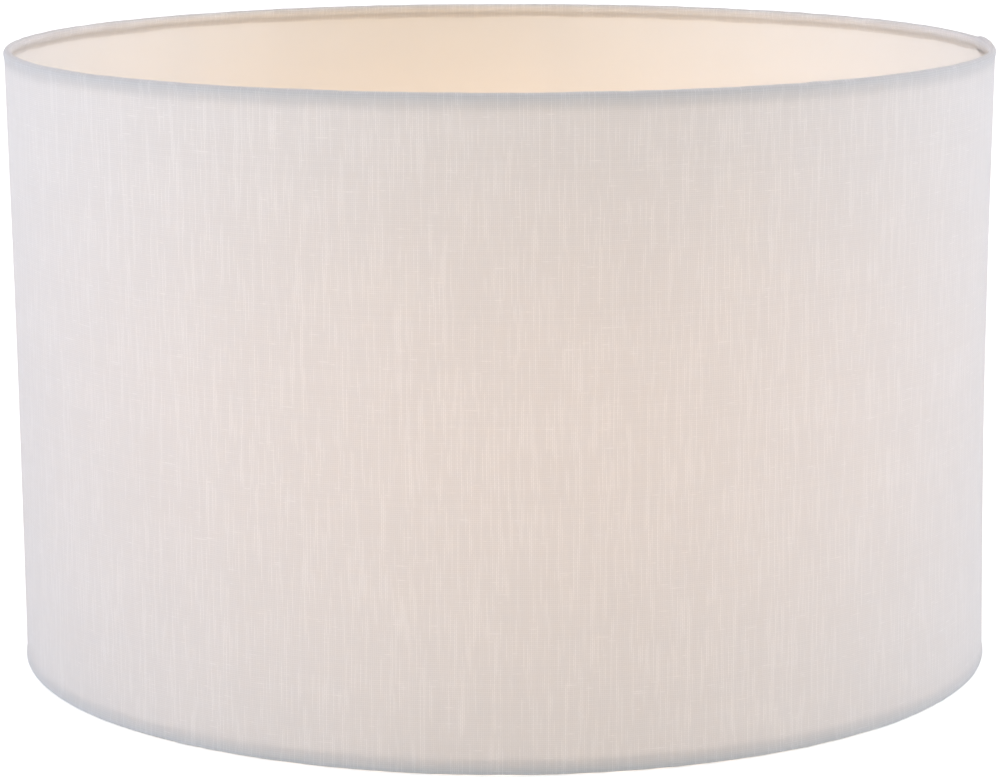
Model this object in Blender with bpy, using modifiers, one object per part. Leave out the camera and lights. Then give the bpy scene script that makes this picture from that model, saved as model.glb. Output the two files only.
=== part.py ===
"""A hard-backed drum lamp shade, 400 mm across and 250 mm high.

A fabric cover and a plastic liner are glued together, rolled into a drum, lapped and taped at one
seam, and turned in round a wire ring at each end. Three spokes carry a fitter ring inside the bottom
ring, and a plastic reducer drops into the fitter ring. The script works in metres with +Z up. The
shade stands on z = 0, and its axis is the Z axis.
"""

import math

import bmesh
import bpy
from mathutils import Vector

MM = 0.001

# Overall sizes
SHADE_DIAMETER = 400 * MM  # across the rolled hems
SHADE_HEIGHT = 250 * MM

# Sheet goods
FABRIC_THICKNESS = 0.4 * MM
LINER_THICKNESS = 0.3 * MM
TAPE_THICKNESS = 0.1 * MM
HEM_BULGE = 0.45 * MM  # how far the hems stand out from the drum's side
HEM_DROP = 2.2 * MM  # from the ring's centre to where that bulge ends
TUCK_DROP = 3.2 * MM  # from the ring's centre to where the turned-in fabric meets the liner
TURN_IN = 4.2 * MM  # from the ring's centre to the turned-in fabric's edge

# Seam
SEAM_ANGLE = math.radians(2)  # from +X towards +Y
LAP_WIDTH = 12.5 * MM
SEAM_TAPE_WIDTH = 9 * MM
SEAM_TAPE_INSET = 6 * MM  # from the liner's edge to the tape's end

# Wire frame
RING_WIRE = 2.2 * MM
SPOKE_WIRE = 2.2 * MM
SPOKE_COUNT = 3
SPOKE_FACET = 12  # the first spoke is over the middle of this facet of the drum, counted from the seam
SPOKE_FOOT = 8 * MM  # level stretch at the bottom ring
SPOKE_HEAD = 12 * MM  # level stretch at the fitter ring
SPOKE_BEND = 6 * MM  # how much of the wire each bend takes up, on each side of its corner
SPOKE_BEND_STEPS = 4
NOTCH_SIDE_CLEARANCE = 0.5 * MM  # between a spoke and the snip in the hem that lets it out
NOTCH_FLOOR_CLEARANCE = 0.25 * MM

# Fitter ring and reducer
FITTER_HEIGHT = 45 * MM  # from the floor to the fitter ring's top face
FITTER_DIAMETER = 58 * MM
FITTER_HOLE = 42 * MM
FITTER_THICKNESS = 1.2 * MM
FITTER_FLANGE = 4 * MM  # height of the turned-down edge
REDUCER_DIAMETER = 50 * MM
REDUCER_HOLE = 28.5 * MM
REDUCER_FLANGE = 1.6 * MM
REDUCER_DEPTH = 6 * MM  # from the flange's top to the spigot's end
REDUCER_WALL = 1.8 * MM
REDUCER_CLEARANCE = 0.3 * MM  # round the spigot, in the fitter ring's hole

# Gaps between pieces that touch on the real shade
SEAT_GAP = 0.3 * MM
GLUE_GAP = 0.15 * MM
TAPE_GAP = 0.1 * MM

# How finely round shapes are divided
DRUM_FACETS = 60
FITTER_FACETS = 48
WIRE_FACETS = 8
HEM_FACET = 36  # degrees, so that one facet of the hem lies flat on the floor

# Sizes and places that follow from those above
ring_wrap = RING_WIRE / 2 + TAPE_GAP + TAPE_THICKNESS + TAPE_GAP  # ring's centre to the fabric
hem_radius = ring_wrap + FABRIC_THICKNESS
ring_radius = SHADE_DIAMETER / 2 - hem_radius
bottom_ring_height = hem_radius
top_ring_height = SHADE_HEIGHT - hem_radius
panel_radius = SHADE_DIAMETER / 2 - HEM_BULGE - FABRIC_THICKNESS  # the cover's glued face
liner_radius = panel_radius - GLUE_GAP - LINER_THICKNESS  # the liner's inner face
turn_in_radius = liner_radius - GLUE_GAP  # the glued face of the turned-in fabric
liner_drop = HEM_DROP + SEAT_GAP  # from a ring's centre to the liner's edge
facet_width = 2 * panel_radius * math.sin(math.pi / DRUM_FACETS)
facet_middle = math.cos(math.pi / DRUM_FACETS)  # a facet's middle, as a share of its corners' radius
lap_turns = LAP_WIDTH / facet_width
snip_turns = (LAP_WIDTH + SEAT_GAP) / facet_width
lap_lift = FABRIC_THICKNESS + LINER_THICKNESS + TAPE_THICKNESS + 3 * GLUE_GAP
first_spoke = SEAM_ANGLE + math.tau * (SPOKE_FACET + 0.5) / DRUM_FACETS
spoke_angles = [first_spoke + math.tau * number / SPOKE_COUNT for number in range(SPOKE_COUNT)]


# Small helpers


def material(name, colour, roughness, metallic=0.0):
    made = bpy.data.materials.new(name)
    made.use_nodes = True
    shader = made.node_tree.nodes["Principled BSDF"]
    shader.inputs["Base Color"].default_value = (*colour, 1)
    shader.inputs["Roughness"].default_value = roughness
    shader.inputs["Metallic"].default_value = metallic
    return made


def collection(name):
    made = bpy.data.collections.new(name)
    bpy.context.scene.collection.children.link(made)
    return made


def add_object(name, data, group, look=None):
    made = bpy.data.objects.new(name, data)
    group.objects.link(made)
    if look:
        data.materials.append(look)
    return made


def mesh_from(bm, name):
    mesh = bpy.data.meshes.new(name)
    bm.to_mesh(mesh)
    bm.free()
    return mesh


def thicken(sheet, thickness):
    """Give an open surface its thickness, on the side that its faces point to."""
    solidify = sheet.modifiers.new("thickness", "SOLIDIFY")
    solidify.thickness = thickness
    solidify.offset = 1
    solidify.use_even_offset = True


def turned(name, outline, closed, steps, look):
    """An outline of (radius, height) points turned round the Z axis by a Screw modifier."""
    bm = bmesh.new()
    corners = [bm.verts.new((radius, 0, height)) for radius, height in outline]
    for first, second in zip(corners, corners[1:]):
        bm.edges.new((first, second))
    if closed:
        bm.edges.new((corners[-1], corners[0]))
    made = add_object(name, mesh_from(bm, name), parts, look)
    screw = made.modifiers.new("turn", "SCREW")
    screw.steps = screw.render_steps = steps
    screw.use_merge_vertices = True
    screw.merge_threshold = 0.00001
    return made


def poly_spline(curve, places, cyclic=False):
    spline = curve.splines.new("POLY")
    spline.points.add(len(places) - 1)
    for point, place in zip(spline.points, places):
        point.co = (*place, 1)
    spline.use_cyclic_u = cyclic


def as_mesh(thing):
    """Swap a curve object for a mesh object of the same shape, because a curve can't be a cutter."""
    evaluated = thing.evaluated_get(bpy.context.evaluated_depsgraph_get())
    mesh = bpy.data.meshes.new_from_object(evaluated)
    bm = bmesh.new()
    bm.from_mesh(mesh)
    bmesh.ops.remove_doubles(bm, verts=bm.verts, dist=0.00001)
    bm.to_mesh(mesh)
    bm.free()
    swapped = bpy.data.objects.new(thing.name, mesh)
    swapped.matrix_world = thing.matrix_world
    thing.users_collection[0].objects.link(swapped)
    bpy.data.objects.remove(thing)
    return swapped


def drum_corner(count):
    """The direction of one of the drum's corners, counted from the seam."""
    angle = SEAM_ANGLE + math.tau * count / DRUM_FACETS
    return Vector((math.cos(angle), math.sin(angle), 0))


def on_drum(turns, radius, height):
    """A point on the drum's facets. turns counts facets from the seam, and may be a fraction."""
    before = math.floor(turns)
    direction = drum_corner(before).lerp(drum_corner(before + 1), turns - before)
    return direction * radius + Vector((0, 0, height))


def round_ring(radius, height, first, last):
    """Corners round a ring's wire, clockwise, whose sides lie at radius from the wire's centre."""
    corner = radius / math.cos(math.radians(HEM_FACET / 2))
    angles = [math.radians(degrees) for degrees in range(first, last - 1, -HEM_FACET)]
    return [(ring_radius + corner * math.cos(a), height + corner * math.sin(a)) for a in angles]


# Sheet pieces


def cover_outline():
    """The cover's glued face, from its top turned-in edge, down the outside, to its bottom one."""
    top = [
        (turn_in_radius, top_ring_height - TURN_IN),
        (turn_in_radius, top_ring_height - TUCK_DROP),
        *round_ring(ring_wrap, top_ring_height, 180 + HEM_FACET, 0),
        (panel_radius, top_ring_height - HEM_DROP),
    ]
    bottom = [(radius, SHADE_HEIGHT - height) for radius, height in reversed(top)]
    return top + bottom


def rolled_sheet(name, look, outline, columns, lifted_rows, thickness, snipped_strips=()):
    """A sheet rolled into the drum. Its lifted_rows rise where it laps over its own start.

    Its snipped_strips are cut away from its first span, which lies under the lap.
    """
    spans, strips = len(columns) - 1, len(outline) - 1
    bm = bmesh.new()
    bmesh.ops.create_grid(bm, x_segments=spans, y_segments=strips, size=1)
    first_span = [face for face in bm.faces if face.calc_center_median().x < 2 / spans - 1]
    snipped = [
        face
        for face in first_span
        if int((1 - face.calc_center_median().y) / 2 * strips) in snipped_strips
    ]
    bmesh.ops.delete(bm, geom=snipped, context="FACES")
    for vert in bm.verts:
        turns = columns[round((vert.co.x + 1) / 2 * spans)]
        row = round((1 - vert.co.y) / 2 * strips)
        radius, height = outline[row]
        if turns >= DRUM_FACETS and row in lifted_rows:
            radius += lap_lift
        vert.co = on_drum(turns, radius, height)
    sheet = add_object(name, mesh_from(bm, name), parts, look)
    thicken(sheet, thickness)
    return sheet


def add_cover(look):
    """The cover is one sheet. Its hems are snipped under the lap, so they stay one layer thick."""
    outline = cover_outline()
    panel_strip = len(outline) // 2 - 1
    cover = rolled_sheet(
        "fabric_cover",
        look,
        outline,
        columns=[0, snip_turns, *range(1, DRUM_FACETS + 1), DRUM_FACETS + lap_turns],
        lifted_rows=(panel_strip, panel_strip + 1),
        thickness=FABRIC_THICKNESS,
        snipped_strips=[strip for strip in range(len(outline)) if strip != panel_strip],
    )
    for number, angle in enumerate(spoke_angles, 1):
        notch = cover.modifiers.new(f"notch_{number}", "BOOLEAN")
        notch.operation = "DIFFERENCE"
        notch.object = notch_cutter(number, angle)


def notch_cutter(number, angle):
    """The snip that lets a spoke out of the bottom hem. It leaves the hem's outer side whole."""
    inside = ring_radius - 2 * hem_radius
    floor = bottom_ring_height - SPOKE_WIRE / 2 - NOTCH_FLOOR_CLEARANCE
    behind = (liner_radius + LINER_THICKNESS / 2) * facet_middle
    under_ring = ring_radius * facet_middle
    top = bottom_ring_height + 2 * TURN_IN
    corners = [
        (inside, floor, 0),
        (under_ring, floor, 0),
        (under_ring, bottom_ring_height, 0),
        (behind, bottom_ring_height, 0),
        (behind, top, 0),
        (inside, top, 0),
    ]
    curve = bpy.data.curves.new(f"notch_cutter_{number}", "CURVE")
    curve.dimensions = "2D"
    curve.fill_mode = "BOTH"
    curve.extrude = SPOKE_WIRE / 2 + NOTCH_SIDE_CLEARANCE
    poly_spline(curve, corners, cyclic=True)
    outline = add_object(f"notch_cutter_{number}", curve, cutters)
    outline.rotation_euler = (math.pi / 2, 0, angle)
    bpy.context.view_layer.update()
    cutter = as_mesh(outline)
    cutter.hide_render = True
    cutter.display_type = "WIRE"
    return cutter


def add_liner(look):
    """The liner stops short of both rings, and rises with the cover where the drum laps."""
    edges = [
        (liner_radius, top_ring_height - liner_drop),
        (liner_radius, bottom_ring_height + liner_drop),
    ]
    columns = [*range(DRUM_FACETS + 1), DRUM_FACETS + lap_turns]
    rolled_sheet("pvc_liner", look, edges, columns, (0, 1), LINER_THICKNESS)


def add_seam_tape(look):
    """A flat strip on the drum's first facet, between the cover's start and the liner's end."""
    normal = on_drum(0.5, 1, 0).normalized()
    length = top_ring_height - bottom_ring_height - 2 * (liner_drop + SEAM_TAPE_INSET)
    bm = bmesh.new()
    bmesh.ops.create_cube(bm, size=1)
    bmesh.ops.scale(bm, vec=(TAPE_THICKNESS, SEAM_TAPE_WIDTH, length), verts=bm.verts)
    tape = add_object("seam_tape", mesh_from(bm, "seam_tape"), parts, look)
    above_cover = FABRIC_THICKNESS + GLUE_GAP + TAPE_THICKNESS / 2
    tape.location = on_drum(lap_turns / 2, panel_radius, SHADE_HEIGHT / 2) + normal * above_cover
    tape.rotation_euler.z = math.atan2(normal.y, normal.x)


# Wire frame


def add_ring(name, height, look):
    bpy.ops.mesh.primitive_torus_add(
        major_radius=ring_radius,
        minor_radius=RING_WIRE / 2,
        major_segments=DRUM_FACETS,
        minor_segments=WIRE_FACETS,
        location=(0, 0, height),
        rotation=(0, 0, SEAM_ANGLE),
    )
    made = bpy.context.object
    made.name = made.data.name = name
    made.data.shade_smooth()
    made.data.materials.append(look)
    for group in made.users_collection:
        group.objects.unlink(made)
    parts.objects.link(made)


def add_ring_tape(name, height, look):
    """Double-sided tape on the outer side of a ring's wire, which the cover sticks to."""
    outline = round_ring(RING_WIRE / 2 + TAPE_GAP, 0, 3 * HEM_FACET, -3 * HEM_FACET)
    tape = turned(name, outline, False, DRUM_FACETS, look)
    tape.location.z = height
    tape.rotation_euler.z = SEAM_ANGLE
    thicken(tape, TAPE_THICKNESS)


def spoke_path():
    """A spoke's centreline: level out of the ring, up a straight slope, level to the fitter ring."""
    outer = (ring_radius - RING_WIRE / 2) * facet_middle - SEAT_GAP
    inner = FITTER_DIAMETER / 2 + SEAT_GAP
    foot = Vector((outer, 0, bottom_ring_height))
    head = Vector((inner, 0, FITTER_HEIGHT - FITTER_FLANGE / 2))
    low_bend = foot - Vector((SPOKE_FOOT, 0, 0))
    high_bend = head + Vector((SPOKE_HEAD, 0, 0))
    points = [foot]
    for before, bend, after in ((foot, low_bend, high_bend), (low_bend, high_bend, head)):
        enter = bend + (before - bend).normalized() * SPOKE_BEND
        leave = bend + (after - bend).normalized() * SPOKE_BEND
        for step in range(SPOKE_BEND_STEPS + 1):
            share = step / SPOKE_BEND_STEPS
            points.append(enter.lerp(bend, share).lerp(bend.lerp(leave, share), share))
    return [*points, head]


def add_spoke(name, angle, look):
    curve = bpy.data.curves.new(name, "CURVE")
    curve.dimensions = "3D"
    curve.bevel_depth = SPOKE_WIRE / 2
    curve.bevel_resolution = 2
    curve.use_fill_caps = True
    poly_spline(curve, spoke_path())
    add_object(name, curve, parts, look).rotation_euler.z = angle


# Fitter ring and reducer


def add_fitter_ring(look):
    """A steel washer with its outer edge turned down. The spokes are welded to that edge."""
    outer, hole = FITTER_DIAMETER / 2, FITTER_HOLE / 2
    outline = [
        (outer, 0),
        (outer, -FITTER_FLANGE),
        (outer - FITTER_THICKNESS, -FITTER_FLANGE),
        (outer - FITTER_THICKNESS, -FITTER_THICKNESS),
        (hole, -FITTER_THICKNESS),
        (hole, 0),
    ]
    turned("fitter_ring", outline, True, FITTER_FACETS, look).location.z = FITTER_HEIGHT


def add_reducer_ring(look):
    """A plastic flange that rests on the fitter ring, with a spigot down through its hole."""
    outer, hole = REDUCER_DIAMETER / 2, REDUCER_HOLE / 2
    spigot = FITTER_HOLE / 2 - REDUCER_CLEARANCE
    spigot_end = REDUCER_FLANGE - REDUCER_DEPTH
    outline = [
        (outer, REDUCER_FLANGE),
        (outer, 0),
        (spigot, 0),
        (spigot, spigot_end),
        (spigot - REDUCER_WALL, spigot_end),
        (spigot - REDUCER_WALL, 0),
        (hole, 0),
        (hole, REDUCER_FLANGE),
    ]
    reducer = turned("reducer_ring", outline, True, FITTER_FACETS, look)
    reducer_lift = bpy.data.objects.new("reducer_lift", None)
    parts.objects.link(reducer_lift)
    reducer_lift.location.z = FITTER_HEIGHT + SEAT_GAP
    reducer.parent = reducer_lift


# The shade

for thing in list(bpy.data.objects):
    bpy.data.objects.remove(thing)

parts = collection("drum_lamp_shade")
cutters = collection("cutters")

linen = material("linen", (0.76, 0.75, 0.73), 0.9)
clear_pvc = material("clear_pvc", (0.9, 0.86, 0.78), 0.35)
tape_film = material("tape_film", (0.8, 0.8, 0.78), 0.5)
white_epoxy = material("white_epoxy", (0.82, 0.82, 0.8), 0.4)
white_plastic = material("white_plastic", (0.85, 0.85, 0.83), 0.45)

add_cover(linen)
add_liner(clear_pvc)
add_seam_tape(tape_film)
for end, ring_height in (("top", top_ring_height), ("bottom", bottom_ring_height)):
    add_ring(f"{end}_ring", ring_height, white_epoxy)
    add_ring_tape(f"{end}_ring_tape", ring_height, tape_film)
for spoke_number, spoke_angle in enumerate(spoke_angles, 1):
    add_spoke(f"spoke_{spoke_number}", spoke_angle, white_epoxy)
add_fitter_ring(white_epoxy)
add_reducer_ring(white_plastic)
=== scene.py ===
"""The looks of a drum lamp shade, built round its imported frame.

Every sheet, wire and ring of the frame is replaced by a finer piece in the same place: the cover is one
sheet of linen with rolled hems and a lapped seam, the liner is a smooth translucent film, and the frame
is epoxy-coated wire. Lengths are in metres, and the drum's axis is the Z axis.
"""

import math

import bpy
import numpy as np
from mathutils import Matrix, Vector


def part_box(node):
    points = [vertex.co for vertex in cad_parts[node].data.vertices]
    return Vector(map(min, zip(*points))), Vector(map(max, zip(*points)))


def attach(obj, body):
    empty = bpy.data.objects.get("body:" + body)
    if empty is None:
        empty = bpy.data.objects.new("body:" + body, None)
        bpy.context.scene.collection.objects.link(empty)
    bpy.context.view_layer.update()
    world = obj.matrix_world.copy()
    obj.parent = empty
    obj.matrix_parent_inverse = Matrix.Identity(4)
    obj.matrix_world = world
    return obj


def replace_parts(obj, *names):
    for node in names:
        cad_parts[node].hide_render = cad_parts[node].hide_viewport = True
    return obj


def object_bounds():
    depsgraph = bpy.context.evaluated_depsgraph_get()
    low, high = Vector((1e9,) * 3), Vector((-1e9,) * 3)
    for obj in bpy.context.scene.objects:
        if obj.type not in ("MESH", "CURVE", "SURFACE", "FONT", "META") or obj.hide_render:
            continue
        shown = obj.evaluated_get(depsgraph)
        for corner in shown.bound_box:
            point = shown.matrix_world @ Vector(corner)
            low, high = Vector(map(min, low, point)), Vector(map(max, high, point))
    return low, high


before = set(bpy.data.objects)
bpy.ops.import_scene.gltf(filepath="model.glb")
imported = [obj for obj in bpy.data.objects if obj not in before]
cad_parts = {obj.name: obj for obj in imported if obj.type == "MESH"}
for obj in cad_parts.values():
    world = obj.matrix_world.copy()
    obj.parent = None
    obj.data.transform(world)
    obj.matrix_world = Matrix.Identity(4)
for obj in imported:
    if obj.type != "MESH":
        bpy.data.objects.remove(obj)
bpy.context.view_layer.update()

MM = 0.001

# Places and sizes read from the frame

cover_low, cover_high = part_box("fabric_cover")
top_ring_low, top_ring_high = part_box("top_ring")
bottom_ring_low, bottom_ring_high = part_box("bottom_ring")
fitter_low, fitter_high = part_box("fitter_ring")
reducer_low, reducer_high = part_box("reducer_ring")
tape_low, tape_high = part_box("seam_tape")

DRUM_RADIUS = (cover_high.y - cover_low.y) / 2
DRUM_HEIGHT = cover_high.z
WIRE_RADIUS = (top_ring_high.z - top_ring_low.z) / 2
TOP_RING = (top_ring_low.z + top_ring_high.z) / 2
BOTTOM_RING = (bottom_ring_low.z + bottom_ring_high.z) / 2
HEM_RADIUS = BOTTOM_RING - cover_low.z  # from a ring's centre to the outside of its hem
RING_RADIUS = DRUM_RADIUS - HEM_RADIUS
tape_middle = (tape_low + tape_high) / 2
LAP = 12.5 * MM  # how far the cover's end lies over its start
SEAM_ANGLE = math.atan2(tape_middle.y, tape_middle.x) - LAP / 2 / DRUM_RADIUS
ROUND = math.tau * DRUM_RADIUS  # once round the drum
spoke_boxes = [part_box(f"spoke_{number}") for number in (1, 2, 3)]
SPOKE_ANGLES = [math.atan2((lo + hi).y, (lo + hi).x) for lo, hi in spoke_boxes]

# Sheet sizes

FABRIC = 0.4 * MM
LINER = 0.3 * MM
GLUE = 0.02 * MM
HEM_BULGE = 0.45 * MM  # how far a hem stands out past the drum's side
HEM_DROP = 2.6 * MM  # from a ring's centre to where its hem meets the drum's side
TURN_IN = 4.2 * MM  # from a ring's centre to the cover's raw edge inside
GLUED_STRIP = 0.9 * MM  # how much of the turned-in band lies flat on the liner, below its slant
LAP_RISE = 16 * MM  # how long the sheets' climb is, just before they pass over their own start
SEAM_FOLD = 9 * MM  # how much of the seam's free edge is folded under
CUT_EDGE = 0.25 * MM  # over how much of its width a cut edge thins out
PANEL_RADIUS = DRUM_RADIUS - HEM_BULGE - FABRIC  # the cover's glued face
LINER_RADIUS = PANEL_RADIUS - GLUE - LINER
COVER_COLUMNS = 640
LINER_COLUMNS = 480
SHARP_CUT = math.radians(60)  # a sheet's edges steeper than this are shaded sharp

# Rings and wires

RING_STEPS = 360
RING_SIDES, SPOKE_SIDES = 12, 20
TURN_STEPS = 192
SHARP_EDGE = math.radians(50)
FOOT_STRAIGHT = 8 * MM  # from a spoke's weld on the bottom ring to its first bend
HEAD_STRAIGHT = 12 * MM  # from its weld on the fitter ring to its other bend
BEND = 6 * MM  # how far to each side of its corner a bend reaches
BEND_STEPS = 12
WELD_DEPTH = 0.25 * MM  # how far a spoke's end is sunk into the ring
WELD_LENGTH = 1.3 * MM  # how far back from the end the weld's fillet runs
WELD_STEPS = 6

# Threads of the cloth

WARP_PITCH = 0.70 * MM
WEFT_PITCH = 0.76 * MM

# Light and camera

FLOOR_HALF = 30  # half of the floor's side
FLOOR_BOUNCE = (0.15, 0.19, 0.23)  # what the floor adds to the light on the shade
FLOOR_WHITE = (0.48, 0.48, 0.46)  # what it adds to its own brightness in view
SKY_LOBES = [  # azimuth and elevation in degrees, sharpness, colour
    (195, 10, 12, (3.6, 4.2, 5.3)),
    (5, 10, 12, (4.15, 4.7, 5.65)),
    (270, 10, 12, (0.9, 0.85, 0.35)),
    (90, 30, 2, (1.04, 0.92, 0.84)),
    (0, 90, 2, (0.97, 0.91, 0.98)),
]
BULB_SIZE = 0.05
BULBS = [  # place, azimuth that it faces in degrees, watts, colour
    ((0.005, -0.02, 0.13), 270, 0.27, (1.0, 0.6, 0.32)),
    ((0, 0, 0.13), 90, 0.22, (1.0, 0.69, 0.41)),
]
CAMERA_DISTANCE = 1.4721  # from the drum's axis
CAMERA_HEIGHT = 0.3806
CAMERA_PITCH, CAMERA_ROLL, CAMERA_YAW = math.radians(10.544), math.radians(0.072), math.radians(-0.042)
SENSOR_WIDTH, FOCAL_LENGTH = 36, 130.4  # in millimetres


# Shape of the drum


def soft_noise(x, y, seed):
    """Smooth noise from -1 to 1 at points (x, y), one bump to a unit. Both are numpy arrays."""
    lattice = np.random.default_rng(seed).uniform(-1, 1, (64, 64))
    x0, y0 = np.floor(x).astype(int), np.floor(y).astype(int)
    fx, fy = x - x0, y - y0
    fx, fy = fx * fx * (3 - 2 * fx), fy * fy * (3 - 2 * fy)
    a, b = lattice[x0 % 64, y0 % 64], lattice[(x0 + 1) % 64, y0 % 64]
    c, d = lattice[x0 % 64, (y0 + 1) % 64], lattice[(x0 + 1) % 64, (y0 + 1) % 64]
    return (a * (1 - fx) + b * fx) * (1 - fy) + (c * (1 - fx) + d * fx) * fy


def smooth_step(x):
    x = np.clip(x, 0, 1)
    return x * x * (3 - 2 * x)


def unevenness(angle, height):
    """How far the drum's side stands out from a true cylinder: rings a little out of round, a bottom
    ring a little smaller than the top one and off its centre, and a side that pulls in between them,
    most of all near the seam."""
    share = np.clip(height / DRUM_HEIGHT, 0, 1)
    between = 4 * share * (1 - share)
    from_seam = np.angle(np.exp(1j * (angle - SEAM_ANGLE + 0.2)))
    near_seam = np.exp(-((from_seam / 0.75) ** 2))
    waist = 0.4 * MM + 0.9 * MM * near_seam
    out_of_round = 0.8 * MM * np.cos(2 * angle - 2.5)
    lean = (0.88 * MM * np.cos(angle) - 0.79 * MM) * (1 - 2 * share)
    ripple = 0.06 * MM * np.cos(7 * angle + 9 * share) + 0.04 * MM * np.cos(13 * angle - 5 * share)
    return out_of_round + lean + between * (ripple - waist)


def drum_points(angle, radius, height):
    """Points on the drum, from arrays that broadcast together."""
    radius = radius + unevenness(angle, height)
    x, y, z = np.broadcast_arrays(radius * np.cos(angle), radius * np.sin(angle), height)
    return np.stack([x, y, z], axis=-1)


# Mesh building


def add_piece(name, points, faces, look, body="shade"):
    mesh = bpy.data.meshes.new(name)
    mesh.from_pydata(points, [], faces)
    mesh.validate()
    mesh.update()
    mesh.shade_smooth()
    piece = bpy.data.objects.new(name, mesh)
    bpy.context.scene.collection.objects.link(piece)
    mesh.materials.append(look)
    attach(piece, body)
    return piece


def grid_normals(points):
    """Unit normals of a grid of points (columns, rows, 3)."""
    along = np.gradient(points, axis=0)
    across = np.gradient(points, axis=1)
    normals = np.cross(across, along)
    return normals / np.linalg.norm(normals, axis=-1, keepdims=True)


def sheet_piece(name, under, over, kept, cloth, look):
    """A closed sheet between two grids of points. kept says which of the grid's cells it covers, and
    cloth holds each point's place on the flat sheet, in metres, which goes to a UV map."""
    columns, rows = under.shape[:2]
    index = np.arange(columns * rows).reshape(columns, rows)
    low, high = index, index + columns * rows
    cells = np.argwhere(kept)
    i, j = cells[:, 0], cells[:, 1]
    top = np.stack([high[i, j], high[i, j + 1], high[i + 1, j + 1], high[i + 1, j]], axis=1)
    bottom = np.stack([low[i, j], low[i + 1, j], low[i + 1, j + 1], low[i, j + 1]], axis=1)
    padded = np.pad(kept, 1)
    rims = []
    for di, dj, a, b in (
        (-1, 0, (0, 0), (0, 1)),
        (1, 0, (1, 1), (1, 0)),
        (0, -1, (1, 0), (0, 0)),
        (0, 1, (0, 1), (1, 1)),
    ):
        edge = cells[~padded[i + 1 + di, j + 1 + dj]]
        first = index[edge[:, 0] + a[0], edge[:, 1] + a[1]]
        second = index[edge[:, 0] + b[0], edge[:, 1] + b[1]]
        lift = columns * rows
        rims.append(np.stack([first, second, second + lift, first + lift], axis=1))
    faces = np.concatenate([top, bottom, *rims])
    points = np.concatenate([under.reshape(-1, 3), over.reshape(-1, 3)])
    used, faces = np.unique(faces, return_inverse=True)
    faces = faces.reshape(-1, 4)
    piece = add_piece(name, points[used].tolist(), faces.tolist(), look)
    flat = np.concatenate([cloth.reshape(-1, 2)] * 2)[used]
    corners = np.empty(len(piece.data.loops), np.int32)
    piece.data.loops.foreach_get("vertex_index", corners)
    layer = piece.data.uv_layers.new(name="cloth")
    layer.uv.foreach_set("vector", flat[corners].astype(np.float32).ravel())
    piece.data.set_sharp_from_angle(angle=SHARP_CUT)
    return piece


def sweep(name, path, section, closed, look, body="shade", flares=None):
    """A section, points (out, up), carried along a path that stays level or climbs in one plane.
    flares holds a pair of factors for each point of the path, which stretch the section there."""
    path = np.asarray(path, float)
    count, sides = len(path), len(section)
    ahead = np.roll(path, -1, axis=0) - np.roll(path, 1, axis=0)
    if not closed:
        ahead[0], ahead[-1] = path[1] - path[0], path[-1] - path[-2]
    ahead /= np.linalg.norm(ahead, axis=1, keepdims=True)
    out = np.cross(ahead, (0, 0, 1))
    out /= np.linalg.norm(out, axis=1, keepdims=True)
    up = np.cross(out, ahead)
    flares = np.ones((count, 2)) if flares is None else flares
    section = np.asarray(section, float)[None] * flares[:, None]
    rings = path[:, None] + out[:, None] * section[..., :1] + up[:, None] * section[..., 1:]
    faces = []
    for i in range(count if closed else count - 1):
        for j in range(sides):
            a, b = i * sides + j, i * sides + (j + 1) % sides
            c, d = ((i + 1) % count) * sides + (j + 1) % sides, ((i + 1) % count) * sides + j
            faces.append((a, d, c, b))
    if not closed:
        faces.append(tuple(range(sides)))
        faces.append(tuple((count - 1) * sides + j for j in reversed(range(sides))))
    piece = add_piece(name, rings.reshape(-1, 3).tolist(), faces, look, body)
    piece.data.set_sharp_from_angle(angle=SHARP_EDGE)
    return piece


def round_section(radius, sides):
    turns = [math.tau * k / sides for k in range(sides)]
    return [(radius * math.cos(t), radius * math.sin(t)) for t in turns]


def rounded(corners, steps=5):
    """A closed outline through corners (radius, height, rounding), each rounded over its own length,
    in metres."""
    points = []
    count = len(corners)
    for k, (*_, rounding) in enumerate(corners):
        before, corner, after = (Vector(corners[(k + d) % count][:2]) for d in (-1, 0, 1))
        if not rounding:
            points.append(corner)
            continue
        start = corner + (before - corner).normalized() * rounding
        end = corner + (after - corner).normalized() * rounding
        for step in range(steps + 1):
            share = step / steps
            points.append(start.lerp(corner, share).lerp(corner.lerp(end, share), share))
    return [tuple(p) for p in points]


def turned(name, outline, look, body="shade", shape=None):
    """A closed outline of (radius, height), clockwise with the axis at its left, turned round Z.
    shape(radius, height, angle) gives each point's radius where it isn't the outline's own."""
    sides = len(outline)
    points, faces = [], []
    for i in range(TURN_STEPS):
        angle = math.tau * i / TURN_STEPS
        for radius, height in outline:
            radius = shape(radius, height, angle) if shape else radius
            points.append((radius * math.cos(angle), radius * math.sin(angle), height))
        for j in range(sides):
            a, b = i * sides + j, i * sides + (j + 1) % sides
            following = (i + 1) % TURN_STEPS * sides
            faces.append((a, b, following + (j + 1) % sides, following + j))
    piece = add_piece(name, points, faces, look, body)
    piece.data.set_sharp_from_angle(angle=SHARP_EDGE)
    return piece


# Materials


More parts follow.
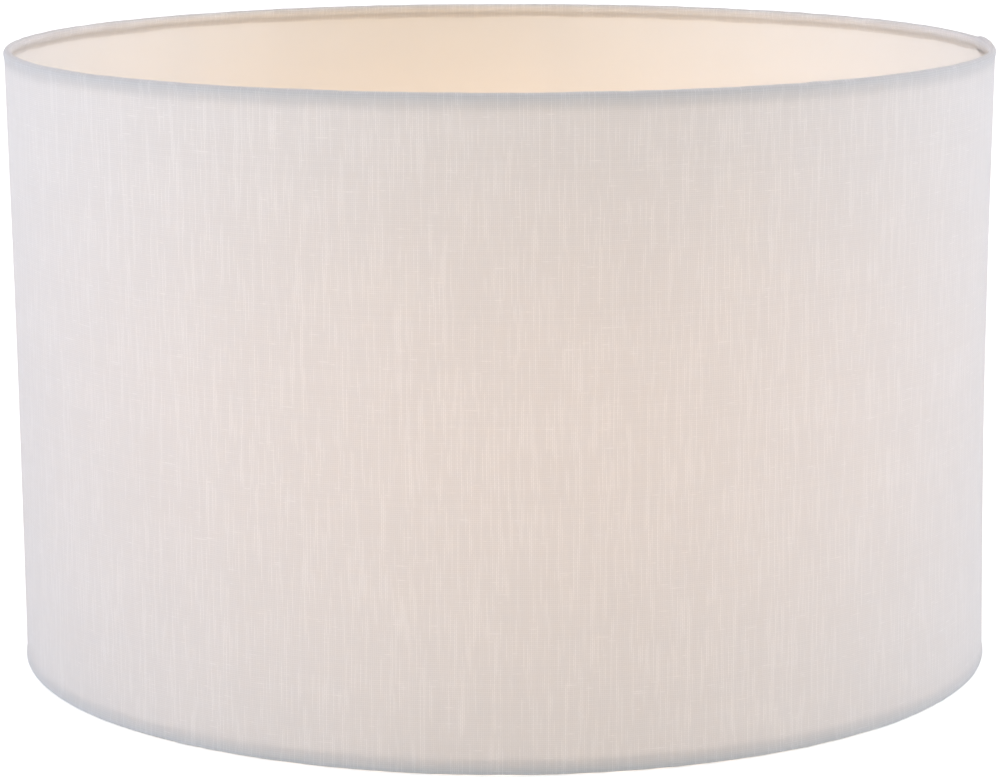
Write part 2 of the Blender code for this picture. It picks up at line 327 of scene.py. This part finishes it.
class Graph:
    """The node tree of a material or world, with short calls for the nodes used here."""

    def __init__(self, owner):
        owner.use_nodes = True
        self.owner = owner
        self.nodes = owner.node_tree.nodes
        self.links = owner.node_tree.links
        self.nodes.clear()

    def add(self, kind, **settings):
        node = self.nodes.new("ShaderNode" + kind)
        for key, value in settings.items():
            setattr(node, key, value)
        return node

    def put(self, socket, value):
        if isinstance(value, bpy.types.NodeSocket):
            self.links.new(value, socket)
        else:
            socket.default_value = value

    def math(self, operation, *values):
        node = self.add("Math", operation=operation)
        for socket, value in zip(node.inputs, values):
            self.put(socket, value)
        return node.outputs[0]

    def vector_math(self, operation, first, second, output="Vector"):
        node = self.add("VectorMath", operation=operation)
        self.put(node.inputs[0], first)
        self.put(node.inputs[1], second)
        return node.outputs[output]

    def noise(self, vector, scale, detail=2.0, roughness=0.5):
        node = self.add("TexNoise")
        self.put(node.inputs["Vector"], vector)
        node.inputs["Scale"].default_value = scale
        node.inputs["Detail"].default_value = detail
        node.inputs["Roughness"].default_value = roughness
        return node.outputs["Fac"]

    def random(self, value, seed):
        """One random number from 0 to 1 for each whole number."""
        node = self.add("TexWhiteNoise", noise_dimensions="2D")
        both = self.add("CombineXYZ")
        self.put(both.inputs[0], value)
        self.put(both.inputs[1], seed)
        self.links.new(both.outputs[0], node.inputs["Vector"])
        return node.outputs["Value"]

    def between(self, value, low, high, start=0.0, end=1.0):
        """A number from low to high as value goes from start to end."""
        node = self.add("MapRange")
        self.put(node.inputs["Value"], value)
        self.put(node.inputs["From Min"], start)
        self.put(node.inputs["From Max"], end)
        self.put(node.inputs["To Min"], low)
        self.put(node.inputs["To Max"], high)
        return node.outputs[0]

    def blend(self, share, first, second):
        node = self.add("Mix", data_type="RGBA")
        self.put(node.inputs[0], share)
        self.put(node.inputs[6], first)
        self.put(node.inputs[7], second)
        return node.outputs[2]

    def vector(self, x, y, z=0.0):
        node = self.add("CombineXYZ")
        for socket, value in zip(node.inputs, (x, y, z)):
            self.put(socket, value)
        return node.outputs[0]

    def bump(self, height, distance, strength):
        node = self.add("Bump")
        node.inputs["Strength"].default_value = strength
        node.inputs["Distance"].default_value = distance
        self.put(node.inputs["Height"], height)
        return node.outputs[0]

    def mix_shaders(self, share, first, second):
        node = self.add("MixShader")
        self.put(node.inputs[0], share)
        self.links.new(first.outputs[0], node.inputs[1])
        self.links.new(second.outputs[0], node.inputs[2])
        return node.outputs[0]

    def finish(self, shader, output="OutputMaterial"):
        self.links.new(shader, self.add(output).inputs["Surface"])
        return self.owner


def new_material(name):
    return Graph(bpy.data.materials.new(name))


def linen_material(cloth_height):
    """A plain weave from the cloth's own flat coordinates: uneven threads that pass over and under
    each other, with slubs along them, that let warm light through. Its base colour is darker in the
    gaps and where threads dip under, painted shade between the threads. Glue has soaked the turned-in
    bands along its top and bottom edges, so more light comes through there."""
    g = new_material("linen_weave")
    axes = g.add("SeparateXYZ")
    g.links.new(g.add("UVMap", uv_map="cloth").outputs[0], axes.inputs[0])
    u, v = axes.outputs[0], axes.outputs[1]

    def counted(across, along, pitch, seed):
        """Threads counted across the cloth. They drift a little, as linen yarn is uneven."""
        place = g.vector(g.math("MULTIPLY", across, 12), g.math("MULTIPLY", along, 55), seed)
        return g.math("MULTIPLY_ADD", g.noise(place, 1.0), 1.2, g.math("DIVIDE", across, pitch))

    def threads(own, other, along, phase, seed, slub_length, slub_from):
        """Height of one set of threads, round across and over and under along, and its slubs."""
        number = g.math("FLOOR", own)
        crown = g.math("SINE", g.math("MULTIPLY", g.math("FRACT", own), math.pi))
        crossing = g.math("ADD", other, g.math("ADD", number, phase))
        over = g.math("COSINE", g.math("MULTIPLY", crossing, math.pi))
        line = g.vector(g.math("MULTIPLY", number, 7.31), g.math("DIVIDE", along, slub_length), seed)
        slub = g.between(g.noise(line, 1.0, 1.0), 0, 1, slub_from, slub_from + 0.12)
        size = g.math("MULTIPLY_ADD", slub, 0.35, g.between(g.random(number, seed), 0.75, 1.0))
        height = g.math("MULTIPLY", g.math("MULTIPLY", crown, g.between(over, 0.55, 1.0, -1, 1)), size)
        return height, g.math("MULTIPLY", slub, crown)

    warp_count, weft_count = counted(u, v, WARP_PITCH, 1.5), counted(v, u, WEFT_PITCH, 4.5)
    warp, warp_slub = threads(warp_count, weft_count, v, -0.5, 1.5, 18 * MM, 0.52)
    weft, weft_slub = threads(weft_count, warp_count, u, 0.5, 4.5, 6 * MM, 0.66)
    weave, slub = g.math("MAXIMUM", warp, weft), g.math("MAXIMUM", warp_slub, weft_slub)
    clouds = g.noise(g.vector(u, v), 22, 3)
    cloth_shader = g.add("BsdfPrincipled")
    # The weave's height darkens the base colour in the gaps and where threads dip under: painted shade
    # between the threads. Each thread's random size and its slubs also vary the tone.
    thread_tone_and_gap_shade = g.math("MULTIPLY_ADD", slub, 0.08, g.between(weave, 0.74, 0.97, 0, 1.1))
    yarn = g.blend(clouds, (0.90, 0.895, 0.89, 1), (0.92, 0.915, 0.91, 1))
    g.put(cloth_shader.inputs["Base Color"], g.vector_math("MULTIPLY", yarn, thread_tone_and_gap_shade))
    cloth_shader.inputs["Roughness"].default_value = 0.92
    cloth_shader.inputs["Specular IOR Level"].default_value = 0.2
    cloth_shader.inputs["Sheen Weight"].default_value = 0.15
    cloth_shader.inputs["Sheen Roughness"].default_value = 0.5
    g.put(cloth_shader.inputs["Normal"], g.bump(weave, 0.12 * MM, 0.5))
    through = g.add("BsdfTranslucent")
    openness = g.between(weave, 0.93, 1.0, 0, 1.1)
    g.put(through.inputs["Color"], g.vector_math("MULTIPLY", (0.99, 0.974, 0.952), openness))
    middle = cloth_height / 2
    from_edge = g.math("SUBTRACT", middle, g.math("ABSOLUTE", g.math("SUBTRACT", v, middle)))
    strip = TURN_IN - WIRE_RADIUS
    light_through = g.between(from_edge, 0.82, 0.55, strip - 0.6 * MM, strip)
    return g.finish(g.mix_shaders(light_through, cloth_shader, through))


def liner_material():
    """Smooth milky film with a soft gloss and faint cloudiness from the glue behind it."""
    g = new_material("milky_film")
    place = g.add("TexCoord").outputs["Object"]
    clouds = g.noise(place, 35, 3)
    colour = g.blend(clouds, (0.92, 0.90, 0.87, 1), (0.96, 0.945, 0.92, 1))
    film = g.add("BsdfPrincipled")
    g.put(film.inputs["Base Color"], colour)
    g.put(film.inputs["Roughness"], g.between(clouds, 0.34, 0.46))
    film.inputs["Specular IOR Level"].default_value = 0.4
    g.put(film.inputs["Normal"], g.bump(g.noise(place, 120, 2), 0.05 * MM, 0.3))
    through = g.add("BsdfTranslucent")
    through.inputs["Color"].default_value = (0.98, 0.958, 0.922, 1)
    return g.finish(g.mix_shaders(0.65, film, through))


def tape_material():
    """Milky double-sided tape, with small bubbles under it."""
    g = new_material("tape_film")
    place = g.add("TexCoord").outputs["Object"]
    bubbles = g.noise(place, 300)
    film = g.add("BsdfPrincipled")
    g.put(film.inputs["Base Color"], g.blend(bubbles, (0.84, 0.83, 0.80, 1), (0.92, 0.91, 0.89, 1)))
    g.put(film.inputs["Roughness"], g.between(bubbles, 0.4, 0.55))
    through = g.add("BsdfTranslucent")
    through.inputs["Color"].default_value = (0.98, 0.97, 0.95, 1)
    return g.finish(g.mix_shaders(0.7, film, through))


def epoxy_material():
    """White powder coat on steel: a faint orange peel, and a few dull scuffs."""
    g = new_material("white_epoxy")
    place = g.add("TexCoord").outputs["Object"]
    scuffs = g.noise(place, 180, 4, 0.65)
    coat = g.add("BsdfPrincipled")
    g.put(coat.inputs["Base Color"], g.blend(scuffs, (0.80, 0.80, 0.79, 1), (0.88, 0.88, 0.87, 1)))
    g.put(coat.inputs["Roughness"], g.between(scuffs, 0.28, 0.5))
    g.put(coat.inputs["Normal"], g.bump(g.noise(place, 1600, 2), 0.04 * MM, 0.5))
    return g.finish(coat.outputs[0])


def plastic_material():
    """Moulded white plastic with a fine spark-eroded grain."""
    g = new_material("white_plastic")
    place = g.add("TexCoord").outputs["Object"]
    grain = g.noise(place, 2600, 2)
    flow = g.noise(place, 60, 3)
    shell = g.add("BsdfPrincipled")
    g.put(shell.inputs["Base Color"], g.blend(flow, (0.84, 0.84, 0.82, 1), (0.9, 0.9, 0.885, 1)))
    g.put(shell.inputs["Roughness"], g.between(flow, 0.36, 0.48))
    g.put(shell.inputs["Normal"], g.bump(grain, 0.03 * MM, 0.4))
    return g.finish(shell.outputs[0])


# Pieces


def hem_outline():
    """The cover's glued face at the top hem, from the turned-in edge to the drum's side, as points
    (radius, height) from the ring's centre."""
    inside, outside = LINER_RADIUS - GLUE - RING_RADIUS, PANEL_RADIUS - RING_RADIUS
    points = [(inside, -TURN_IN), (inside, -TURN_IN + GLUED_STRIP)]
    tight, loose = WIRE_RADIUS + 0.05 * MM, HEM_RADIUS - FABRIC
    meets_wire, step = 204, 6
    for degrees in range(meets_wire, -1, -step):
        angle = math.radians(degrees)
        radius = tight + (loose - tight) * float(smooth_step(0.5 + 0.8 * math.cos(angle - 0.9)))
        points.append((radius * math.cos(angle), radius * math.sin(angle)))
    points += [(outside, -HEM_DROP - below) for below in (0, 1 * MM, 5 * MM)]
    return np.array(points)


def spaced(points, step):
    """The same line with points step apart, then softened a little at its corners."""
    lengths = np.concatenate([[0], np.cumsum(np.linalg.norm(np.diff(points, axis=0), axis=1))])
    at = np.linspace(0, lengths[-1], max(2, round(lengths[-1] / step) + 1))
    line = np.stack([np.interp(at, lengths, points[:, k]) for k in (0, 1)], axis=1)
    for _ in range(2):
        line[1:-1] = (line[:-2] + 2 * line[1:-1] + line[2:]) / 4
    return line


def cover_rows():
    """The glued face's outline as (radius, height) from top raw edge to bottom raw edge, each row's
    place on the flat sheet, and how many rows one hem has."""
    hem = spaced(hem_outline(), 0.62 * MM)
    top = hem + (RING_RADIUS, TOP_RING)
    bottom = hem[::-1] * (1, -1) + (RING_RADIUS, BOTTOM_RING)
    side_rows = 20
    heights = np.linspace(top[-1, 1], bottom[0, 1], side_rows + 2)[1:-1]
    side = np.stack([np.full(side_rows, PANEL_RADIUS), heights], axis=1)
    rows = np.concatenate([top, side, bottom])
    flat = np.concatenate([[0], np.cumsum(np.linalg.norm(np.diff(rows, axis=0), axis=1))])
    return rows, flat, len(top)


def cover_columns(notches):
    """Distances round the cover from its start to the lap's end, with a column at each break."""
    length = ROUND + LAP
    breaks = [0, CUT_EDGE, length - SEAM_FOLD, length - CUT_EDGE, length]
    breaks += [edge for notch in notches for edge in notch]
    even = np.linspace(0, length, COVER_COLUMNS)
    clear = np.abs(even[:, None] - np.array(breaks)[None]).min(axis=1) > 0.7 * MM
    return np.sort(np.concatenate([even[clear], breaks]))


def cover_lift(s, v, in_top, rolled, folded_in):
    """How far the cover stands off its glued face at (s, v) on the flat cloth. rolled is the share of
    the hem's shape that each point has, and folded_in that of its turned-in band."""
    # The lap: its end rises over its start, less at the hems, where the sheet lies on the wire and
    # its start is pressed in
    rise = smooth_step((s - ROUND + LAP_RISE) / LAP_RISE)
    lift_side, lift_top, lift_bottom, press = 0.85 * MM, 0.55 * MM, 0.12 * MM, 0.12 * MM
    lift_hem = np.where(in_top, lift_top, lift_bottom)[None]
    lift = rise * (lift_side * (1 - rolled) + lift_hem * rolled)
    pressed_in = smooth_step(1 - (s - LAP) / (6 * MM))
    lift -= press * pressed_in * rolled

    # Puckers where the cloth is drawn round the wire, and glue lumps under the turned-in band
    pucker = soft_noise(s / (7 * MM), v / (9 * MM), 3) + 0.6 * soft_noise(s / (3.6 * MM), v / (5 * MM), 4)
    lumps = soft_noise(s / (23 * MM), v / (11 * MM), 5)
    on_wire, in_band, on_side = 0.05 * MM, 0.09 * MM, 0.03 * MM
    lift += rolled * on_wire * (pucker + lumps) + folded_in * in_band * (pucker + 0.6)
    return lift + on_side * soft_noise(s / (31 * MM), v / (38 * MM), 6)


def cover_thickness(s, rolled):
    """Thicker where the seam's free edge is folded under, and thinner along both cut ends."""
    fold = smooth_step((s - (ROUND + LAP - SEAM_FOLD - 0.5 * MM)) / (1 * MM))
    from_cut = np.minimum(s, ROUND + LAP - s)
    thickness = FABRIC * (1 + 0.75 * fold * (1 - 0.5 * rolled))
    return thickness * (0.55 + 0.45 * smooth_step(from_cut / CUT_EDGE))


def fabric_cover(look):
    rows, flat, hem_rows = cover_rows()
    spokes = [(angle - SEAM_ANGLE) % math.tau * DRUM_RADIUS for angle in SPOKE_ANGLES]
    half_notch = WIRE_RADIUS + 0.4 * MM
    distance = cover_columns([(place - half_notch, place + half_notch) for place in spokes])
    s, v = np.meshgrid(distance, flat, indexing="ij")
    row = np.arange(len(rows))
    in_top, in_bottom = row < hem_rows, row >= len(rows) - hem_rows
    from_raw_edge = np.minimum(row, len(rows) - 1 - row)
    rolled = smooth_step((hem_rows - from_raw_edge) / 6)[None]
    folded_in = smooth_step((0.55 * hem_rows - from_raw_edge) / 8)[None]

    angle = (SEAM_ANGLE + distance / DRUM_RADIUS)[:, None]
    base = drum_points(angle, rows[None, :, 0], rows[None, :, 1])
    normals = grid_normals(base)
    under = base + normals * cover_lift(s, v, in_top, rolled, folded_in)[..., None]
    over = under + normals * cover_thickness(s, rolled)[..., None]

    # The raw edges of the turned-in bands wander a little
    wander = 0.5 * MM * soft_noise(s / (14 * MM), 0 * s + 0.5, 8)
    wander += 0.2 * MM * soft_noise(s / (2.5 * MM), 0 * s, 9)
    shift = wander * smooth_step(1 - from_raw_edge / 6)[None] * np.where(in_top, -1, 1)[None]
    for grid in (under, over):
        grid[..., 2] += shift

    # The bottom hem's inner side is notched at each spoke
    kept = np.ones((len(distance) - 1, len(rows) - 1), bool)
    middle = (distance[:-1] + distance[1:]) / 2
    inner_side = in_bottom[:-1] & (rows[1:, 0] < RING_RADIUS - 0.6 * MM)
    for place in spokes:
        kept[np.ix_(np.abs(middle - place) < half_notch, inner_side)] = False

    cover = sheet_piece("linen_cover", under, over, kept, np.stack([s, v], axis=-1), look)
    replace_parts(cover, "fabric_cover")
    return cover


def flat_edged_sheet(name, distance, heights, radius, rise, thickness, look):
    """A sheet on the drum's side without hems. rise is how far each column stands off the radius."""
    angle = (SEAM_ANGLE + distance / DRUM_RADIUS)[:, None]
    inner = drum_points(angle, radius + 0 * heights[None], heights[None])
    normals = grid_normals(inner)
    inner = inner + normals * (rise + 0 * distance)[:, None, None]
    kept = np.ones((len(distance) - 1, len(heights) - 1), bool)
    cloth = np.stack(np.broadcast_arrays(distance[:, None], -heights[None]), axis=-1)
    return sheet_piece(name, inner, inner + normals * thickness, kept, cloth, look)


def liner_film(look):
    past_wire, short_of_lap, lap_lift = 0.5 * MM, 3 * MM, 0.80 * MM
    reach = WIRE_RADIUS + past_wire
    heights = np.linspace(TOP_RING - reach, BOTTOM_RING + reach, 18)
    distance = np.linspace(0, ROUND + LAP - short_of_lap, LINER_COLUMNS)
    rise = lap_lift * smooth_step((distance - ROUND + LAP_RISE) / LAP_RISE)
    film = flat_edged_sheet("liner_film", distance, heights, LINER_RADIUS, rise, LINER, look)
    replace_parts(film, "pvc_liner")
    return film


def seam_tape(look):
    start, end, off_cloth, thickness = 2 * MM, LAP - 3.5 * MM, 0.03 * MM, 0.05 * MM
    distance = ROUND + np.linspace(start, end, 6)
    heights = np.linspace(tape_high.z, tape_low.z, 14)
    radius = PANEL_RADIUS + FABRIC + off_cloth
    tape = flat_edged_sheet("lap_tape", distance, heights, radius, 0, thickness, look)
    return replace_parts(tape, "seam_tape")


def ring_and_tape(end, height, wire_look, tape_look):
    """The wire in one hem, and the tape round its outer side."""
    angle = np.linspace(0, math.tau, RING_STEPS, endpoint=False)
    path = drum_points(angle, RING_RADIUS, height)
    section = round_section(WIRE_RADIUS, RING_SIDES)
    wire = sweep(f"{end}_ring_wire", path, section, True, wire_look)
    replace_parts(wire, f"{end}_ring")
    inner, outer = WIRE_RADIUS + 0.03 * MM, WIRE_RADIUS + 0.1 * MM
    half_wrap, step = 108, 18
    arc = [math.radians(degrees) for degrees in range(-half_wrap, half_wrap + 1, step)]
    section = [(outer * math.cos(a), outer * math.sin(a)) for a in arc]
    section += [(inner * math.cos(a), inner * math.sin(a)) for a in reversed(arc)]
    tape = sweep(f"{end}_ring_tape_strip", path, section, True, tape_look)
    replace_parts(tape, f"{end}_ring_tape")


def spoke_path(angle):
    """A spoke's centreline along +X, from inside the bottom ring's wire to the fitter ring's
    turned-down edge. Its last points at each end are close together, for the weld."""
    ring = RING_RADIUS + float(unevenness(angle, BOTTOM_RING))
    foot = Vector((ring - WIRE_RADIUS + WELD_DEPTH, 0, BOTTOM_RING))
    head = Vector((fitter_high.x - WELD_DEPTH, 0, (fitter_low.z + fitter_high.z) / 2))
    inward = Vector((-1, 0, 0))
    low_bend, high_bend = foot + inward * FOOT_STRAIGHT, head - inward * HEAD_STRAIGHT
    points = [foot + inward * WELD_LENGTH * step / WELD_STEPS for step in range(WELD_STEPS)]
    for before, bend, after in ((foot, low_bend, high_bend), (low_bend, high_bend, head)):
        enter = bend + (before - bend).normalized() * BEND
        leave = bend + (after - bend).normalized() * BEND
        for step in range(BEND_STEPS + 1):
            share = step / BEND_STEPS
            points.append(enter.lerp(bend, share).lerp(bend.lerp(leave, share), share))
    points += [head - inward * WELD_LENGTH * step / WELD_STEPS for step in reversed(range(WELD_STEPS))]
    return points


def weld_flares(count):
    """The wire spreads where it is welded: along the ring at its foot, all round at its head."""
    flares = np.ones((count, 2))
    for step in range(WELD_STEPS):
        fillet = (1 - step / WELD_STEPS) ** 2
        flares[step] = (1 + 1.1 * fillet, 1 - 0.35 * fillet)
        flares[-1 - step] = (1 + 0.7 * fillet, 1 + 0.5 * fillet)
    return flares


def add_spokes(look):
    for number, angle in enumerate(SPOKE_ANGLES, 1):
        path = [Matrix.Rotation(angle, 3, "Z") @ p for p in spoke_path(angle)]
        section = round_section(WIRE_RADIUS, SPOKE_SIDES)
        flares = weld_flares(len(path))
        wire = sweep(f"spoke_wire_{number}", path, section, False, look, flares=flares)
        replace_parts(wire, f"spoke_{number}")


def fitter_washer(look):
    """A pressed steel ring: a turned-down edge, and a shallow bead pressed up round its top."""
    outer, hole = fitter_high.x, 21 * MM
    top, low, plate = fitter_high.z, fitter_low.z, 1.2 * MM
    bead, bead_half, bead_rise = outer - 2.7 * MM, 0.8 * MM, 0.28 * MM
    corners = [
        (outer, top, 1.1 * MM),
        (outer, low, 0.3 * MM),
        (outer - plate, low, 0.3 * MM),
        (outer - plate, top - plate, 0.5 * MM),
        (hole, top - plate, 0.25 * MM),
        (hole, top, 0.25 * MM),
        (bead - bead_half, top, 0.15 * MM),
        (bead - bead_half / 2, top + bead_rise, 0.3 * MM),
        (bead + bead_half / 2, top + bead_rise, 0.3 * MM),
        (bead + bead_half, top, 0.15 * MM),
    ]
    washer = turned("fitter_washer", rounded(corners), look)
    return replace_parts(washer, "fitter_ring")


def reducer_bush(look):
    """A moulded ring: a flange with a step in its top face, and a spigot with four snap lugs."""
    outer, hole, spigot, wall = reducer_high.x, 14.25 * MM, 20.7 * MM, 1.8 * MM
    top, low = reducer_high.z, reducer_low.z
    under = top - 1.6 * MM
    step, step_depth = 19 * MM, 0.35 * MM
    lug_top, lug_rise = under - 1.3 * MM, 0.24 * MM
    corners = [
        (outer, top, 0.5 * MM),
        (outer, under, 0.3 * MM),
        (spigot, under, 0.2 * MM),
        (spigot, under - 1.4 * MM, 0),
        (spigot, under - 2.6 * MM, 0.8 * MM),
        (spigot, low, 0.5 * MM),
        (spigot - wall, low, 0.3 * MM),
        (spigot - wall, under, 0.3 * MM),
        (hole, under, 0.3 * MM),
        (hole, top - step_depth, 0.4 * MM),
        (step, top - step_depth, 0.12 * MM),
        (step, top, 0.2 * MM),
    ]

    def snap_lugs(radius, height, angle):
        on_spigot = height < lug_top and radius > spigot - wall / 2
        across = smooth_step(8 * (math.cos(4 * angle) - 0.86))
        share = (height - low) / (lug_top - low)
        return radius + lug_rise * on_spigot * float(across * smooth_step(2 * min(share, 1 - share)))

    bush = turned("reducer_bush", rounded(corners), look, body="reducer", shape=snap_lugs)
    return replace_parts(bush, "reducer_ring")


# Stage: floor, sky, lamps and camera


def floor_material():
    """Pale and matt. It adds some light of its own, most of all in view, so that it reads as white."""
    g = new_material("pale_floor")
    in_view = g.add("LightPath").outputs["Is Camera Ray"]
    shader = g.add("BsdfPrincipled")
    shader.inputs["Base Color"].default_value = (0.9, 0.9, 0.9, 1)
    shader.inputs["Roughness"].default_value = 0.9
    g.put(shader.inputs["Emission Color"], g.blend(in_view, (*FLOOR_BOUNCE, 1), (*FLOOR_WHITE, 1)))
    shader.inputs["Emission Strength"].default_value = 1
    return g.finish(shader.outputs[0])


def add_floor(height):
    mesh = bpy.data.meshes.new("floor")
    corners = [(x * FLOOR_HALF, y * FLOOR_HALF, 0) for x, y in ((-1, -1), (1, -1), (1, 1), (-1, 1))]
    mesh.from_pydata(corners, [], [(0, 1, 2, 3)])
    mesh.materials.append(floor_material())
    floor = bpy.data.objects.new("floor", mesh)
    floor.location.z = height
    bpy.context.scene.collection.objects.link(floor)


def add_sky():
    """Soft light from all round, with a few wide, brighter patches."""
    g = Graph(bpy.data.worlds.new("studio"))
    direction = g.add("TexCoord").outputs["Generated"]
    total = None
    for azimuth, elevation, sharpness, colour in SKY_LOBES:
        a, e = math.radians(azimuth), math.radians(elevation)
        towards = (math.cos(a) * math.cos(e), math.sin(a) * math.cos(e), math.sin(e))
        facing = g.vector_math("DOT_PRODUCT", direction, towards, "Value")
        lobe = g.math("POWER", g.math("MAXIMUM", facing, 0), sharpness)
        patch = g.vector_math("MULTIPLY", colour, lobe)
        total = patch if total is None else g.vector_math("ADD", total, patch)
    sky = g.add("Background")
    g.put(sky.inputs["Color"], total)
    bpy.context.scene.world = g.finish(sky.outputs[0], "OutputWorld")


def add_bulbs():
    """The light of a warm bulb inside the drum. The bulb itself isn't part of the shade."""
    for number, (place, azimuth, watts, colour) in enumerate(BULBS, 1):
        light = bpy.data.lights.new(f"bulb_glow_{number}", "AREA")
        light.shape = "DISK"
        light.size = BULB_SIZE
        light.energy = watts
        light.color = colour
        glow = bpy.data.objects.new(f"bulb_glow_{number}", light)
        glow.location = place
        glow.rotation_euler = (math.pi / 2, 0, math.radians(azimuth - 90))
        glow.visible_camera = False
        bpy.context.scene.collection.objects.link(glow)


def add_camera():
    camera = bpy.data.cameras.new("camera")
    camera.sensor_width, camera.lens = SENSOR_WIDTH, FOCAL_LENGTH
    camera.clip_start, camera.clip_end = 0.05, 100
    level = math.cos(CAMERA_PITCH)
    forward = Vector((math.sin(CAMERA_YAW) * level, math.cos(CAMERA_YAW) * level, -math.sin(CAMERA_PITCH)))
    upright = forward.to_track_quat("-Z", "Y")
    holder = bpy.data.objects.new("camera", camera)
    holder.location = (0, -CAMERA_DISTANCE, CAMERA_HEIGHT)
    holder.rotation_mode = "QUATERNION"
    holder.rotation_quaternion = upright @ Matrix.Rotation(-CAMERA_ROLL, 3, "Z").to_quaternion()
    bpy.context.scene.collection.objects.link(holder)
    bpy.context.scene.camera = holder


# The whole scene

linen = linen_material(cloth_height=float(cover_rows()[1][-1]))
film = liner_material()
tape = tape_material()
epoxy = epoxy_material()
plastic = plastic_material()

liner_film(film)
for ring_end, ring_height in (("top", TOP_RING), ("bottom", BOTTOM_RING)):
    ring_and_tape(ring_end, ring_height, epoxy, tape)
fabric_cover(linen)
seam_tape(tape)
add_spokes(epoxy)
fitter_washer(epoxy)
reducer_bush(plastic)

look_low, look_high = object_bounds()
add_floor(look_low.z)
add_sky()
add_bulbs()
add_camera()
bpy.context.scene.view_settings.view_transform = "Standard"
